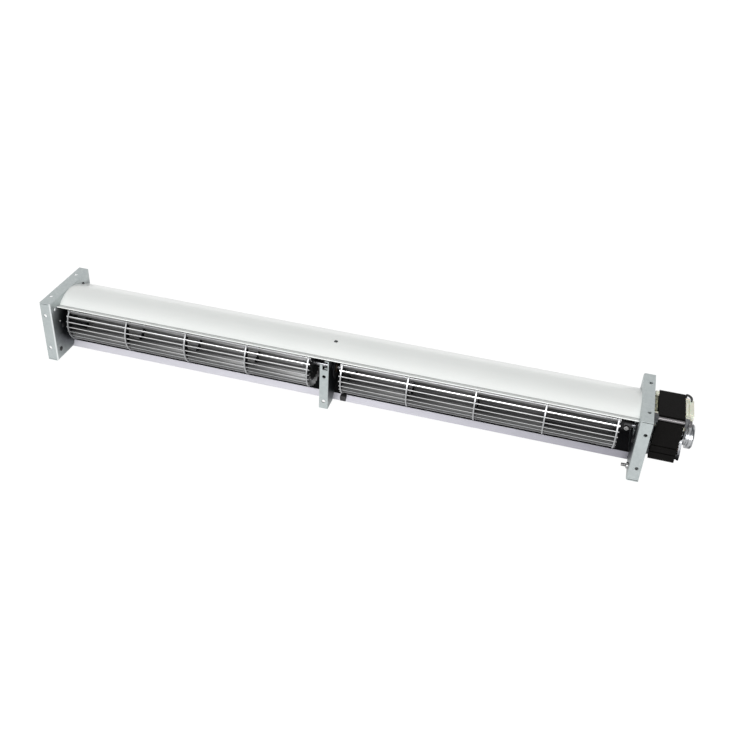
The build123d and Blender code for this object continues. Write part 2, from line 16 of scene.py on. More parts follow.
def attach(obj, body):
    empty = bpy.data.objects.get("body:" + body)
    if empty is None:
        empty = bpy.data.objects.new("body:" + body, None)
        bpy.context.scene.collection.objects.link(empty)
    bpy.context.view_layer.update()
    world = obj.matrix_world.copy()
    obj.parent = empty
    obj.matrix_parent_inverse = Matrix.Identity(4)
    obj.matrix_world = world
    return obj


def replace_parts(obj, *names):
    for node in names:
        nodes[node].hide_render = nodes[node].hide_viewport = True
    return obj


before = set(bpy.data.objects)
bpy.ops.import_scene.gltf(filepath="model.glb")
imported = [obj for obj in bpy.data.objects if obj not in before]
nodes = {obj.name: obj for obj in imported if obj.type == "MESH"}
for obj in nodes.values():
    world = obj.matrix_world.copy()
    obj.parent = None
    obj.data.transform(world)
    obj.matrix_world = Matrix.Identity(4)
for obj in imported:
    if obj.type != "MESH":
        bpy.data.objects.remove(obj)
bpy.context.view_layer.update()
MM = 0.001

# %% [markdown]
# ## The camera
#
# The picture was taken from the right of the middle, in front and above, with a slight roll, so a
# camera with only a place and an aim would not match it. The three directions below are the
# camera's own right, up and forward, and they go straight into its matrix.

# %% Camera
camera_place = Vector((256.5, -898.4, 679.1)) * MM
camera_right = Vector((0.96165, 0.27038, 0.04612))
camera_up = Vector((-0.18886, 0.53081, 0.82619))
camera_forward = Vector((-0.19891, 0.80321, -0.56151))

camera_data = bpy.data.cameras.new("photo_camera")
camera_data.sensor_fit = "HORIZONTAL"
camera_data.sensor_width = 36.0
camera_data.lens = 46.78
camera_data.clip_start = 0.01
camera = bpy.data.objects.new("photo_camera", camera_data)
turn = Matrix((camera_right, camera_up, -camera_forward)).transposed()
camera.matrix_world = Matrix.Translation(camera_place) @ turn.to_4x4()
bpy.context.scene.collection.objects.link(camera)
bpy.context.scene.camera = camera
print("camera:", [round(value, 3) for value in camera_place])

# %% [markdown]
# ## Colours and nodes
#
# Colours are written as the hex values that a paint chart gives, which are sRGB. Shaders work in
# linear light, so one function turns them. A second one adds a node with its settings and links,
# which keeps each finish down to the lines that say something about it. A node given as an input
# stands for its first output.


# %% Colour and node helpers
def linear(hex_value):
    """Turns an sRGB hex value into the linear colour that shaders use."""
    channels = [int(hex_value[place:place + 2], 16) / 255 for place in (1, 3, 5)]
    return [c / 12.92 if c < 0.04045 else ((c + 0.055) / 1.055) ** 2.4 for c in channels] + [1.0]


def add_node(tree, kind, inputs=None, **settings):
    """Adds a node. Each input is a plain value, the socket that feeds it, or that socket's node."""
    node = tree.nodes.new(kind)
    for name, value in settings.items():
        setattr(node, name, value)
    for name, value in (inputs or {}).items():
        if isinstance(value, bpy.types.Node):
            value = value.outputs[0]
        if isinstance(value, bpy.types.NodeSocket):
            tree.links.new(value, node.inputs[name])
        else:
            node.inputs[name].default_value = value
    return node


def per_mm(size):
    """Scale of a pattern whose cells are that many millimetres wide."""
    return 1 / (size * MM)


# %% [markdown]
# ## Studio
#
# The fan stands in a plain white studio. A camera ray that meets the world or the floor sees
# white, and so do reflections, because bright metal shows what is around it. The light that falls
# on the fan is set apart from that: a grey world, a large soft lamp from the front, which makes
# the front of the casing lighter than its top, and two low ones behind for its back slope, which
# leave no highlight. A dark card stands behind the camera, seen only in reflections. Metal
# mirrors it as a dark streak, and looks like metal for it. Under the fan the paper's colour is
# painted dark, a painted shade, and it doesn't glow, because hardly any light would reach it there.


# %% World
def seen_directly(tree):
    """One for a ray from the camera, a mirror or a clear part, and nought for light on the fan."""
    rays = add_node(tree, "ShaderNodeLightPath").outputs
    seen = add_node(tree, "ShaderNodeMath", {0: rays["Is Camera Ray"], 1: rays["Is Glossy Ray"]},
                    operation="ADD")
    seen = add_node(tree, "ShaderNodeMath", {0: seen, 1: rays["Is Transmission Ray"]},
                    operation="ADD", use_clamp=True)
    return seen


sky_level = 0.3
world = bpy.data.worlds.new("white_studio")
bpy.context.scene.world = world
world.use_nodes = True
sky = world.node_tree
sky.nodes.clear()
level = add_node(sky, "ShaderNodeMapRange", {"Value": seen_directly(sky), "To Min": sky_level,
                                             "To Max": 1.0})
backdrop = add_node(sky, "ShaderNodeBackground",
                    {"Color": linear("#FFFFFF"), "Strength": level.outputs["Result"]})
add_node(sky, "ShaderNodeOutputWorld", {"Surface": backdrop})
print("sky level:", sky_level)


# %% Floor
def flat_sheet(name, corners, material):
    """A four-cornered sheet for the studio. Its corners are in metres."""
    mesh = bpy.data.meshes.new(name)
    mesh.from_pydata(corners, [], [(0, 1, 2, 3)])
    mesh.materials.append(material)
    made = bpy.data.objects.new(name, mesh)
    bpy.context.scene.collection.objects.link(made)
    return made


paper = bpy.data.materials.new("white_studio_paper")
paper.use_nodes = True
sheet = paper.node_tree
sheet.nodes.clear()
floor_place = add_node(sheet, "ShaderNodeTexCoord").outputs["Object"]
floor_place = add_node(sheet, "ShaderNodeSeparateXYZ", {0: floor_place})
most_glow, glow_level = 0.9, 1.07
beyond = []
for axis, middle_mm, reach_mm in (("X", 0, 354), ("Y", 20, 30)):
    distance = add_node(sheet, "ShaderNodeMath", {0: floor_place.outputs[axis], 1: middle_mm * MM},
                        operation="SUBTRACT")
    distance = add_node(sheet, "ShaderNodeMath", {0: distance}, operation="ABSOLUTE")
    beyond.append(add_node(sheet, "ShaderNodeMath", {0: distance, 1: reach_mm * MM},
                           operation="SUBTRACT"))
beyond = add_node(sheet, "ShaderNodeMath", {0: beyond[0], 1: beyond[1]}, operation="MAXIMUM")
open_floor = add_node(sheet, "ShaderNodeMapRange", {"Value": beyond, "From Min": -4.0 * MM,
                                                    "From Max": 1.0 * MM})
glow_share = add_node(sheet, "ShaderNodeMath", {0: seen_directly(sheet), 1: open_floor},
                      operation="MULTIPLY")
glow_share = add_node(sheet, "ShaderNodeMath", {0: glow_share, 1: most_glow}, operation="MULTIPLY")
# Under the fan the paper's own colour is darkened: painted shade.
paper_with_painted_shade = add_node(sheet, "ShaderNodeMix", {"Factor": open_floor, "A": linear("#2C2C2E"),
                                               "B": linear("#F4F4F4")}, data_type="RGBA")
matt = add_node(sheet, "ShaderNodeBsdfDiffuse", {"Color": paper_with_painted_shade.outputs[2]})
glow = add_node(sheet, "ShaderNodeEmission", {"Color": linear("#FFFFFF"), "Strength": glow_level})
mixed = add_node(sheet, "ShaderNodeMixShader", {0: glow_share, 1: matt, 2: glow})
add_node(sheet, "ShaderNodeOutputMaterial", {"Surface": mixed})

reach = 6.0
floor = flat_sheet("studio_floor", [(-reach, -reach, 0), (reach, -reach, 0), (reach, reach, 0),
                                    (-reach, reach, 0)], paper)
floor.location.z = -0.05 * MM
print("floor (m):", 2 * reach)

# %% Dark card
felt = bpy.data.materials.new("dark_studio_felt")
felt.use_nodes = True
felt.node_tree.nodes.clear()
dull = add_node(felt.node_tree, "ShaderNodeBsdfDiffuse", {"Color": linear("#1E1E20")})
add_node(felt.node_tree, "ShaderNodeOutputMaterial", {"Surface": dull})
card_left, card_right, card_back, card_foot, card_top = -2.6, 2.8, -2.9, 0.05, 0.5
card = flat_sheet("dark_card", [(card_left, card_back, card_foot), (card_right, card_back, card_foot),
                                (card_right, card_back, card_top),
                                (card_left, card_back, card_top)], felt)
card.visible_camera = False
print("card (m):", card_right - card_left, "by", card_top - card_foot)

# %% Lamps
lamps = [
    ("front_lamp", (0.0, -1.95, 0.98), 1.5, 49.0),
    ("back_left_lamp", (-2.0, 1.9, 0.6), 1.0, 42.0),
    ("back_right_lamp", (2.0, 1.9, 0.6), 1.0, 42.0),
]
for name, place, size, power in lamps:
    light = bpy.data.lights.new(name, "AREA")
    light.size = size
    light.energy = power
    lamp = bpy.data.objects.new(name, light)
    lamp.location = place
    lamp.rotation_euler = (-Vector(place)).to_track_quat("-Z", "Y").to_euler()
    lamp.visible_glossy = name == "front_lamp"
    bpy.context.scene.collection.objects.link(lamp)
print("lamps:", [row[0] for row in lamps])

# %% [markdown]
# ## Finishes: sheet metal
#
# A material starts from one shader, and each finish then says what is special about it. Patterns
# use object coordinates, which are in metres here, so a size in millimetres gives their scale.
# Two traits come back on most surfaces: blotches between two tones, and a gloss that varies. Where
# a tool or a roller has drawn lines, the second one's noise is stretched along them.


# %% A new finish and its two common traits
def new_finish(name, colour, metallic, roughness):
    """A material with one shader, its node tree, and object coordinates for its patterns."""
    material = bpy.data.materials.new(name)
    material.use_nodes = True
    material.node_tree.nodes.clear()
    shader = add_node(material.node_tree, "ShaderNodeBsdfPrincipled",
                      {"Base Color": linear(colour), "Metallic": metallic, "Roughness": roughness})
    add_node(material.node_tree, "ShaderNodeOutputMaterial", {"Surface": shader})
    place = add_node(material.node_tree, "ShaderNodeTexCoord").outputs["Object"]
    print("finish:", name)
    return material, material.node_tree, shader, place


def blotch(tree, shader, place, size_mm, detail, low_tone, high_tone):
    """Colours a finish in soft blotches between two tones."""
    noise = add_node(tree, "ShaderNodeTexNoise", {"Vector": place, "Scale": per_mm(size_mm),
                                                  "Detail": detail})
    tone = add_node(tree, "ShaderNodeMix", {"Factor": noise, "A": linear(low_tone),
                                            "B": linear(high_tone)}, data_type="RGBA")
    tree.links.new(tone.outputs[2], shader.inputs["Base Color"])


def vary_gloss(tree, shader, place, size_mm, detail, least, most, squeeze=(1, 1, 1)):
    """Varies the roughness with a noise, and returns it. A small squeeze draws it out in lines."""
    squeezed = add_node(tree, "ShaderNodeMapping", {"Vector": place, "Scale": squeeze})
    noise = add_node(tree, "ShaderNodeTexNoise", {"Vector": squeezed,
                                                  "Scale": per_mm(size_mm), "Detail": detail})
    gloss = add_node(tree, "ShaderNodeMapRange", {"Value": noise, "To Min": least, "To Max": most})
    tree.links.new(gloss.outputs[0], shader.inputs["Roughness"])
    return noise


# %% [markdown]
# Dust gathers in the middle of a wheel and hands rub its rim, so several finishes change with the
# distance from the shaft. The shaft lies along X, at this height in millimetres over the floor.


# %% Seen from the shaft
axis_height = 41.0


def away_from_shaft(tree, place):
    """The way from the shaft to a point, straight out from the axis."""
    offset = add_node(tree, "ShaderNodeVectorMath", {0: place, 1: (0, 0, axis_height * MM)},
                      operation="SUBTRACT")
    away = add_node(tree, "ShaderNodeVectorMath", {0: offset, 1: (0, 1, 1)}, operation="MULTIPLY")
    return away


def shaft_distance(tree, place):
    """How far from the shaft a point lies, in metres."""
    away = away_from_shaft(tree, place)
    return add_node(tree, "ShaderNodeVectorMath", {0: away}, operation="LENGTH").outputs["Value"]


# %% [markdown]
# The end plates and the middle bracket are hot-dip galvanised steel, pressed from sheet. The zinc
# freezes in crystals of a few millimetres, the spangle, each of which turns the light its own way.
# Cell noise gives every crystal its own grey and its own gloss, and soft noise adds handling dirt.

# %% Galvanised sheet steel
galvanised, tree, shader, place = new_finish("galvanised_sheet_steel", "#A9B0B2", 0.82, 0.42)
spangle_mm = 3.0
spangle = add_node(tree, "ShaderNodeTexVoronoi", {"Vector": place, "Scale": per_mm(spangle_mm)})
grey = add_node(tree, "ShaderNodeSeparateColor", {"Color": spangle.outputs["Color"]})
smudge = add_node(tree, "ShaderNodeTexNoise", {"Vector": place, "Scale": per_mm(22.0), "Detail": 5.0})
galvanised_tone = add_node(tree, "ShaderNodeMix", {"Factor": grey, "A": linear("#A8AFB0"),
                                           "B": linear("#B7BDBD")}, data_type="RGBA")
galvanised_tone = add_node(tree, "ShaderNodeMix", {"Factor": smudge, "A": linear("#B4BBBB"),
                                           "B": galvanised_tone.outputs[2]}, data_type="RGBA")
gloss = add_node(tree, "ShaderNodeMapRange", {"Value": grey.outputs[1], "To Min": 0.42, "To Max": 0.52})
tree.links.new(gloss.outputs[0], shader.inputs["Roughness"])
relief = add_node(tree, "ShaderNodeBump", {"Height": smudge, "Strength": 0.08, "Distance": 0.2 * MM})
tree.links.new(relief.outputs[0], shader.inputs["Normal"])

# %% [markdown]
# Below the casing, the sides that face the wheels are painted darker as shade, darkest near the
# shaft. Such a side points along X, and lies no further out than a plate's inner face. The two
# faces of a plate's sheet are given in millimetres from the fan's middle.

# %% Painted shade on the plates
plate_inner, plate_outer = 348.5, 349.7
point = add_node(tree, "ShaderNodeSeparateXYZ", {0: place}).outputs
facing = add_node(tree, "ShaderNodeTexCoord").outputs["Normal"]
facing = add_node(tree, "ShaderNodeSeparateXYZ", {0: facing}).outputs
inside = add_node(tree, "ShaderNodeMath", {0: point["X"]}, operation="ABSOLUTE")
inside = add_node(tree, "ShaderNodeMath", {0: inside, 1: (plate_inner + 0.5) * MM},
                  operation="LESS_THAN")
sideways = add_node(tree, "ShaderNodeMath", {0: facing["X"]}, operation="ABSOLUTE")
sideways = add_node(tree, "ShaderNodeMath", {0: sideways, 1: 0.7}, operation="GREATER_THAN")
near = add_node(tree, "ShaderNodeMapRange", {"Value": shaft_distance(tree, place),
                                             "From Min": 28.0 * MM, "From Max": 62.0 * MM,
                                             "To Min": 1.0, "To Max": 0.0})
below_lip = add_node(tree, "ShaderNodeMapRange", {"Value": point["Z"], "From Min": 66.0 * MM,
                                                  "From Max": 71.0 * MM, "To Min": 1.0,
                                                  "To Max": 0.0})
painted_shade_share = inside
for share in (sideways, near, below_lip):
    painted_shade_share = add_node(tree, "ShaderNodeMath", {0: painted_shade_share, 1: share}, operation="MULTIPLY")
# The sides near the wheels are coloured dark here: painted shade.
galvanised_tone = add_node(tree, "ShaderNodeMix", {"Factor": painted_shade_share, "A": galvanised_tone.outputs[2],
                                           "B": linear("#303337")}, data_type="RGBA")

# %% [markdown]
# A painted highlight brightens the upright folds of the left plate. A surface there faces both
# sideways and forwards.

# %% Painted highlight on the folds
fold_painted_highlight = add_node(tree, "ShaderNodeMath", {0: facing["X"], 1: facing["Y"]}, operation="MULTIPLY")
fold_painted_highlight = add_node(tree, "ShaderNodeMath", {0: fold_painted_highlight}, operation="ABSOLUTE")
fold_painted_highlight = add_node(tree, "ShaderNodeMapRange", {"Value": fold_painted_highlight, "From Min": 0.2, "From Max": 0.45})
on_left = add_node(tree, "ShaderNodeMath", {0: point["X"], 1: -300.0 * MM}, operation="LESS_THAN")
fold_painted_highlight = add_node(tree, "ShaderNodeMath", {0: fold_painted_highlight, 1: on_left}, operation="MULTIPLY")
# The left plate's folds are made paler here: a painted highlight.
galvanised_tone = add_node(tree, "ShaderNodeMix", {"Factor": fold_painted_highlight, "A": galvanised_tone.outputs[2],
                                           "B": linear("#DFE3E3")}, data_type="RGBA")
tree.links.new(galvanised_tone.outputs[2], shader.inputs["Base Color"])

# %% [markdown]
# The casing is coil-coated sheet: a smooth, pale, satin coat baked on before folding. The roller
# that lays it on leaves a faint orange peel, a few millimetres across and microns high. Its other
# side, which ends up inside, round the wheels, is painted dark as shade. The side is told by the
# surface's own direction: inside, it points towards the shaft.

# %% Coil-coated sheet
coated, tree, shader, place = new_finish("coil_coated_sheet", "#E3E5E3", 0.0, 0.34)
peel_mm = 2.5
peel = add_node(tree, "ShaderNodeTexNoise", {"Vector": place, "Scale": per_mm(peel_mm), "Detail": 2.0})
relief = add_node(tree, "ShaderNodeBump", {"Height": peel, "Strength": 0.1, "Distance": 0.05 * MM})
tree.links.new(relief.outputs[0], shader.inputs["Normal"])
cloud = add_node(tree, "ShaderNodeTexNoise", {"Vector": place, "Scale": per_mm(60.0), "Detail": 3.0})
tone = add_node(tree, "ShaderNodeMix", {"Factor": cloud, "A": linear("#E6E8E6"),
                                        "B": linear("#DFE2E0")}, data_type="RGBA")
facing = add_node(tree, "ShaderNodeTexCoord").outputs["Normal"]
outside = add_node(tree, "ShaderNodeVectorMath", {0: away_from_shaft(tree, place), 1: facing},
                   operation="DOT_PRODUCT")
outside = add_node(tree, "ShaderNodeMath", {0: outside.outputs["Value"], 1: 0.0},
                   operation="GREATER_THAN")
# Inside the casing the colour is painted dark: painted shade.
tone = add_node(tree, "ShaderNodeMix", {"Factor": outside, "A": linear("#2B2D2D"),
                                        "B": tone.outputs[2]}, data_type="RGBA")
tree.links.new(tone.outputs[2], shader.inputs["Base Color"])
shader.inputs["Coat Weight"].default_value = 0.25
shader.inputs["Coat Roughness"].default_value = 0.2

# %% [markdown]
# Where the casing's lip is folded tight, a grey strip paints the shade in the crease.

# %% Painted shade in the fold
# A grey finish for the crease: painted shade.
crease_painted_shade, tree, shader, place = new_finish("painted_shade_in_fold", "#9DA09F", 0.0, 0.5)
blotch(tree, shader, place, size_mm=8.0, detail=4.0, low_tone="#8A8D8C", high_tone="#B4B7B6")

# %% [markdown]
# The narrow tongue plate under the wheels is electro-galvanised: a thin, even zinc coat without
# spangle, slightly lavender, with fine lines along the rolling direction. It is painted darker to
# the right, as shade.

# %% Electro-galvanised strip
tongue_zinc, tree, shader, place = new_finish("electro_galvanised_strip", "#B2B1BC", 0.3, 0.45)
along = add_node(tree, "ShaderNodeSeparateXYZ", {0: place}).outputs["X"]
along = add_node(tree, "ShaderNodeMapRange", {"Value": along, "From Min": -0.35, "From Max": 0.35})
# Darker towards the right: painted shade.
tone = add_node(tree, "ShaderNodeMix", {"Factor": along, "A": linear("#C4C3CA"),
                                        "B": linear("#696870")}, data_type="RGBA")
tree.links.new(tone.outputs[2], shader.inputs["Base Color"])
rolling = vary_gloss(tree, shader, place, size_mm=0.8, detail=4.0, least=0.3, most=0.46,
                     squeeze=(0.02, 1, 1))
relief = add_node(tree, "ShaderNodeBump", {"Height": rolling, "Strength": 0.06, "Distance": 0.05 * MM})
tree.links.new(relief.outputs[0], shader.inputs["Normal"])

# %% [markdown]
# ## Finishes: the wheels and shafts
#
# Blades and rings are thin rolled aluminium, left bare. Rolling draws hair lines along the strip,
# so the noise is stretched along the wheel. Only the outer few millimetres stay bright: further
# in, the blades are painted dark as shade and made less metallic, which is why the gaps between
# them look black. The distance from the shaft tells where. Their cut ends, past the last rings,
# are left out of the painted shade. Each wheel is given by its start and its length in millimetres.

# %% Rolled aluminium
blade_aluminium, tree, shader, place = new_finish("rolled_aluminium", "#E8E9EA", 0.85, 0.3)
rolling = vary_gloss(tree, shader, place, size_mm=0.9, detail=3.0, least=0.24, most=0.4,
                     squeeze=(0.01, 1, 1))
tone = add_node(tree, "ShaderNodeMix", {"Factor": rolling, "A": linear("#D9DADC"),
                                        "B": linear("#F2F2F2")}, data_type="RGBA")
# Painted shade further in than the outer few millimetres, except at the cut ends.
clear_of_painted_shade = add_node(tree, "ShaderNodeMapRange", {"Value": shaft_distance(tree, place),
                                               "From Min": 24.8 * MM, "From Max": 27.2 * MM})
along = add_node(tree, "ShaderNodeSeparateXYZ", {0: place}).outputs["X"]
wheels = [(-339.5, 310.804), (12.604, 316.196)]
cut_end = 0.4
past_ring = []
for start_mm, length_mm in wheels:
    from_middle = add_node(tree, "ShaderNodeMath", {0: along, 1: (start_mm + length_mm / 2) * MM},
                           operation="SUBTRACT")
    from_middle = add_node(tree, "ShaderNodeMath", {0: from_middle}, operation="ABSOLUTE")
    past_ring.append(add_node(tree, "ShaderNodeMath", {0: from_middle,
                                                       1: (length_mm / 2 - cut_end) * MM},
                              operation="GREATER_THAN"))
past_ring = add_node(tree, "ShaderNodeMath", {0: past_ring[0], 1: past_ring[1]}, operation="MULTIPLY")
clear_of_painted_shade = add_node(tree, "ShaderNodeMath", {0: clear_of_painted_shade, 1: past_ring}, operation="MAXIMUM")
metallic_clear_of_shade = add_node(tree, "ShaderNodeMapRange", {"Value": clear_of_painted_shade, "To Min": 0.3, "To Max": 0.85})
tree.links.new(metallic_clear_of_shade.outputs[0], shader.inputs["Metallic"])

# %% [markdown]
# Further in, the blades are lightened by painted light, more so towards the middle bracket. Rings
# divide each wheel into four bays, and each bay is painted darker on its left, as shade by the ring.

# %% Painted light and shade on the blades
bays = 4
bay_painted_light_shares = [(0.35, 1.15, "LESS_THAN"), (0.65, 0.1, "GREATER_THAN")]
bay_painted_light = []
for (start_mm, length_mm), (left_share, right_share, side) in zip(wheels, bay_painted_light_shares):
    bay = add_node(tree, "ShaderNodeMath", {0: along, 1: start_mm * MM}, operation="SUBTRACT")
    bay = add_node(tree, "ShaderNodeMath", {0: bay, 1: length_mm / bays * MM}, operation="DIVIDE")
    overall = add_node(tree, "ShaderNodeMapRange", {"Value": bay, "From Max": bays,
                                                    "To Min": left_share, "To Max": right_share})
    bay = add_node(tree, "ShaderNodeMath", {0: bay}, operation="FRACT")
    bay = add_node(tree, "ShaderNodeMapRange", {"Value": bay, "To Min": 0.1, "To Max": 1.0})
    share = add_node(tree, "ShaderNodeMath", {0: bay, 1: overall}, operation="MULTIPLY")
    here = add_node(tree, "ShaderNodeMath", {0: along, 1: 0.0}, operation=side)
    bay_painted_light.append(add_node(tree, "ShaderNodeMath", {0: share, 1: here}, operation="MULTIPLY"))
bay_painted_light = add_node(tree, "ShaderNodeMath", {0: bay_painted_light[0], 1: bay_painted_light[1]}, operation="ADD")
# The inner blade colour runs from painted shade to painted light.
inner = add_node(tree, "ShaderNodeMix", {"Factor": bay_painted_light, "A": linear("#1C1C1D"),
                                         "B": linear("#F4F4F4")}, data_type="RGBA")
tone = add_node(tree, "ShaderNodeMix", {"Factor": clear_of_painted_shade, "A": inner.outputs[2],
                                        "B": tone.outputs[2]}, data_type="RGBA")
tree.links.new(tone.outputs[2], shader.inputs["Base Color"])

# %% [markdown]
# The rings are blanked from the same sheet and painted dark as shade except near their rim. The
# shafts are ground steel, with lines round them, and the discs are aluminium, dark grey and duller.

# %% Sheet aluminium of the rings
ring_aluminium, tree, shader, place = new_finish("blanked_sheet_aluminium", "#B4B5B6", 0.9, 0.42)
scuff = add_node(tree, "ShaderNodeTexNoise", {"Vector": place, "Scale": per_mm(1.5), "Detail": 3.0})
tone = add_node(tree, "ShaderNodeMix", {"Factor": scuff, "A": linear("#98999B"),
                                        "B": linear("#BCBDBE")}, data_type="RGBA")
# Inside the rim the ring is coloured dark: painted shade.
clear_of_painted_shade = add_node(tree, "ShaderNodeMapRange", {"Value": shaft_distance(tree, place),
                                               "From Min": 27.0 * MM, "From Max": 28.8 * MM})
tone = add_node(tree, "ShaderNodeMix", {"Factor": clear_of_painted_shade, "A": linear("#28282A"),
                                        "B": tone.outputs[2]}, data_type="RGBA")
tree.links.new(tone.outputs[2], shader.inputs["Base Color"])

# %% Ground steel for the shafts
ground_steel, tree, shader, place = new_finish("ground_steel", "#8E8F92", 1.0, 0.28)
vary_gloss(tree, shader, place, size_mm=0.5, detail=3.0, least=0.2, most=0.38,
           squeeze=(1, 0.05, 0.05))

# %% Blanked aluminium for the discs
disc_aluminium, tree, shader, place = new_finish("blanked_aluminium", "#4C4E4F", 0.8, 0.5)
blotch(tree, shader, place, size_mm=5.0, detail=5.0, low_tone="#3C3E3F", high_tone="#5A5C5D")

# %% [markdown]
# ## Finishes: the motor
#
# The core is a stack of thin steel sheets dipped in black varnish, which lies over them in a soft
# ripple of about six millimetres. The sheets' own edges are a piece of their own, further down.
# The brackets are die-cast zinc, coloured dark as painted shade and reflection, with paler spots,
# and painted darkest at the arm's foot as shade. Only the outer one's boss was turned bright, which
# left soft rings round it, and its dark and bright bands are painted reflection.

# %% Varnished steel sheets
core_varnish, tree, shader, place = new_finish("varnished_steel_laminations", "#1B1A1A", 0.0, 0.5)
shader.inputs["Specular IOR Level"].default_value = 0.05
ripple_mm = 2 * math.pi
unscaled_wave = math.pi / 10  # the length in metres of this texture's wave at scale 1
ripple = add_node(tree, "ShaderNodeTexWave", {"Vector": place,
                                              "Scale": unscaled_wave * per_mm(ripple_mm),
                                              "Distortion": 0.6, "Detail": 1.0, "Detail Scale": 2.0},
                  bands_direction="X")
relief = add_node(tree, "ShaderNodeBump", {"Height": ripple.outputs[1], "Strength": 0.35,
                                           "Distance": 0.1 * MM})
tree.links.new(relief.outputs[0], shader.inputs["Normal"])
vary_gloss(tree, shader, place, size_mm=7.0, detail=4.0, least=0.38, most=0.62)
blotch(tree, shader, place, size_mm=7.0, detail=4.0, low_tone="#0A0909", high_tone="#131211")

# %% Die-cast zinc with a turned boss
cast_zinc, tree, shader, place = new_finish("turned_die_cast_zinc", "#B4B7BA", 1.0, 0.12)
waves = vary_gloss(tree, shader, place, size_mm=5.0, detail=2.0, least=0.16, most=0.28,
                   squeeze=(1.8, 0.4, 0.4))
relief = add_node(tree, "ShaderNodeBump", {"Height": waves, "Strength": 0.2, "Distance": 0.3 * MM})
tree.links.new(relief.outputs[0], shader.inputs["Normal"])
# The boss's dark and bright bands are painted reflection, laid along the turning rings.
boss_painted_reflection_band = add_node(tree, "ShaderNodeMapRange", {"Value": waves, "From Min": 0.38, "From Max": 0.6})
bright = add_node(tree, "ShaderNodeMix", {"Factor": boss_painted_reflection_band, "A": linear("#505256"),
                                          "B": linear("#B6B8BA")}, data_type="RGBA")
spots = add_node(tree, "ShaderNodeMapRange", {"Value": waves, "From Min": 0.4, "From Max": 0.75})
# The dark tone with paler spots is painted shade and reflection.
bracket_painted_dark_tone = add_node(tree, "ShaderNodeMix", {"Factor": spots, "A": linear("#48494C"),
                                        "B": linear("#96989A")}, data_type="RGBA")
height = add_node(tree, "ShaderNodeSeparateXYZ", {0: place}).outputs["Z"]
# Darkest at the arm's foot: painted shade.
above_foot_painted_shade = add_node(tree, "ShaderNodeMapRange", {"Value": height, "From Min": 25.0 * MM,
                                                  "From Max": 34.0 * MM})
bracket_painted_dark_tone = add_node(tree, "ShaderNodeMix", {"Factor": above_foot_painted_shade, "A": linear("#1B1B1C"),
                                        "B": bracket_painted_dark_tone.outputs[2]}, data_type="RGBA")
boss_radius = 14.5
boss = add_node(tree, "ShaderNodeMath", {0: shaft_distance(tree, place), 1: boss_radius * MM},
                operation="LESS_THAN")
tone = add_node(tree, "ShaderNodeMix", {"Factor": boss, "A": bracket_painted_dark_tone.outputs[2],
                                        "B": bright.outputs[2]}, data_type="RGBA")
tree.links.new(tone.outputs[2], shader.inputs["Base Color"])

# %% Die-cast zinc in painted shade
# The inner bracket's dark colour is painted shade.
zinc_in_painted_shade, tree, shader, place = new_finish("die_cast_zinc_in_painted_shade", "#47484B", 0.9, 0.4)
blotch(tree, shader, place, size_mm=3.0, detail=4.0, low_tone="#2A2B2D", high_tone="#606265")

# %% [markdown]
# Small steel parts rust unless they are covered. The screws have bright zinc plate, shiny and a
# little cloudy. The long bolts are drawn steel, greyer, with fine lines along them. The coupling's
# hub, the shaft clip and the dark screws have black oxide, a thin dark skin with a soft sheen.

# %% Bright zinc plate for the fasteners
zinc_plate, tree, shader, place = new_finish("bright_zinc_plate", "#9C9C9C", 1.0, 0.2)
vary_gloss(tree, shader, place, size_mm=1.2, detail=4.0, least=0.14, most=0.34)

# %% Drawn steel of the long bolts
bolt_steel, tree, shader, place = new_finish("drawn_bolt_steel", "#6A6869", 1.0, 0.3)
vary_gloss(tree, shader, place, size_mm=0.6, detail=3.0, least=0.22, most=0.42,
           squeeze=(0.05, 1, 1))

# %% Black oxide steel
black_oxide, tree, shader, place = new_finish("black_oxide_steel", "#262627", 0.7, 0.42)
vary_gloss(tree, shader, place, size_mm=1.5, detail=3.0, least=0.34, most=0.52)

# %% [markdown]
# The winding is wrapped in varnished polyester tape, which is a glossy olive yellow over copper
# wire. The bobbin is moulded nylon, creamy and slightly see-through at thin edges. Rubber parts
# are moulded and matt with a fine grain. The bushes are sintered bronze, pressed from powder and
# dark with oil, and the shading rings are bare drawn copper, browned in blotches.

# %% Varnished tape over the winding
tape, tree, shader, place = new_finish("varnished_polyester_tape", "#8E8C52", 0.0, 0.3)
wraps = add_node(tree, "ShaderNodeTexNoise", {"Vector": place, "Scale": per_mm(3.0), "Detail": 2.0})
wraps = add_node(tree, "ShaderNodeMapRange", {"Value": wraps, "From Min": 0.4, "From Max": 0.6})
tone = add_node(tree, "ShaderNodeMix", {"Factor": wraps, "A": linear("#1E1F0E"),
                                        "B": linear("#93926A")}, data_type="RGBA")
tree.links.new(tone.outputs[2], shader.inputs["Base Color"])
shader.inputs["Coat Weight"].default_value = 0.6
shader.inputs["Coat Roughness"].default_value = 0.15

# %% Moulded nylon
nylon, tree, shader, place = new_finish("moulded_nylon", "#DEDFCF", 0.0, 0.42)
grain = add_node(tree, "ShaderNodeTexNoise", {"Vector": place, "Scale": per_mm(0.6), "Detail": 3.0})
relief = add_node(tree, "ShaderNodeBump", {"Height": grain, "Strength": 0.15, "Distance": 0.05 * MM})
tree.links.new(relief.outputs[0], shader.inputs["Normal"])
blotch(tree, shader, place, size_mm=9.0, detail=2.0, low_tone="#E4E5D6", high_tone="#D3D4C2")
shader.inputs["Subsurface Weight"].default_value = 0.08
shader.inputs["Subsurface Scale"].default_value = 1.0 * MM

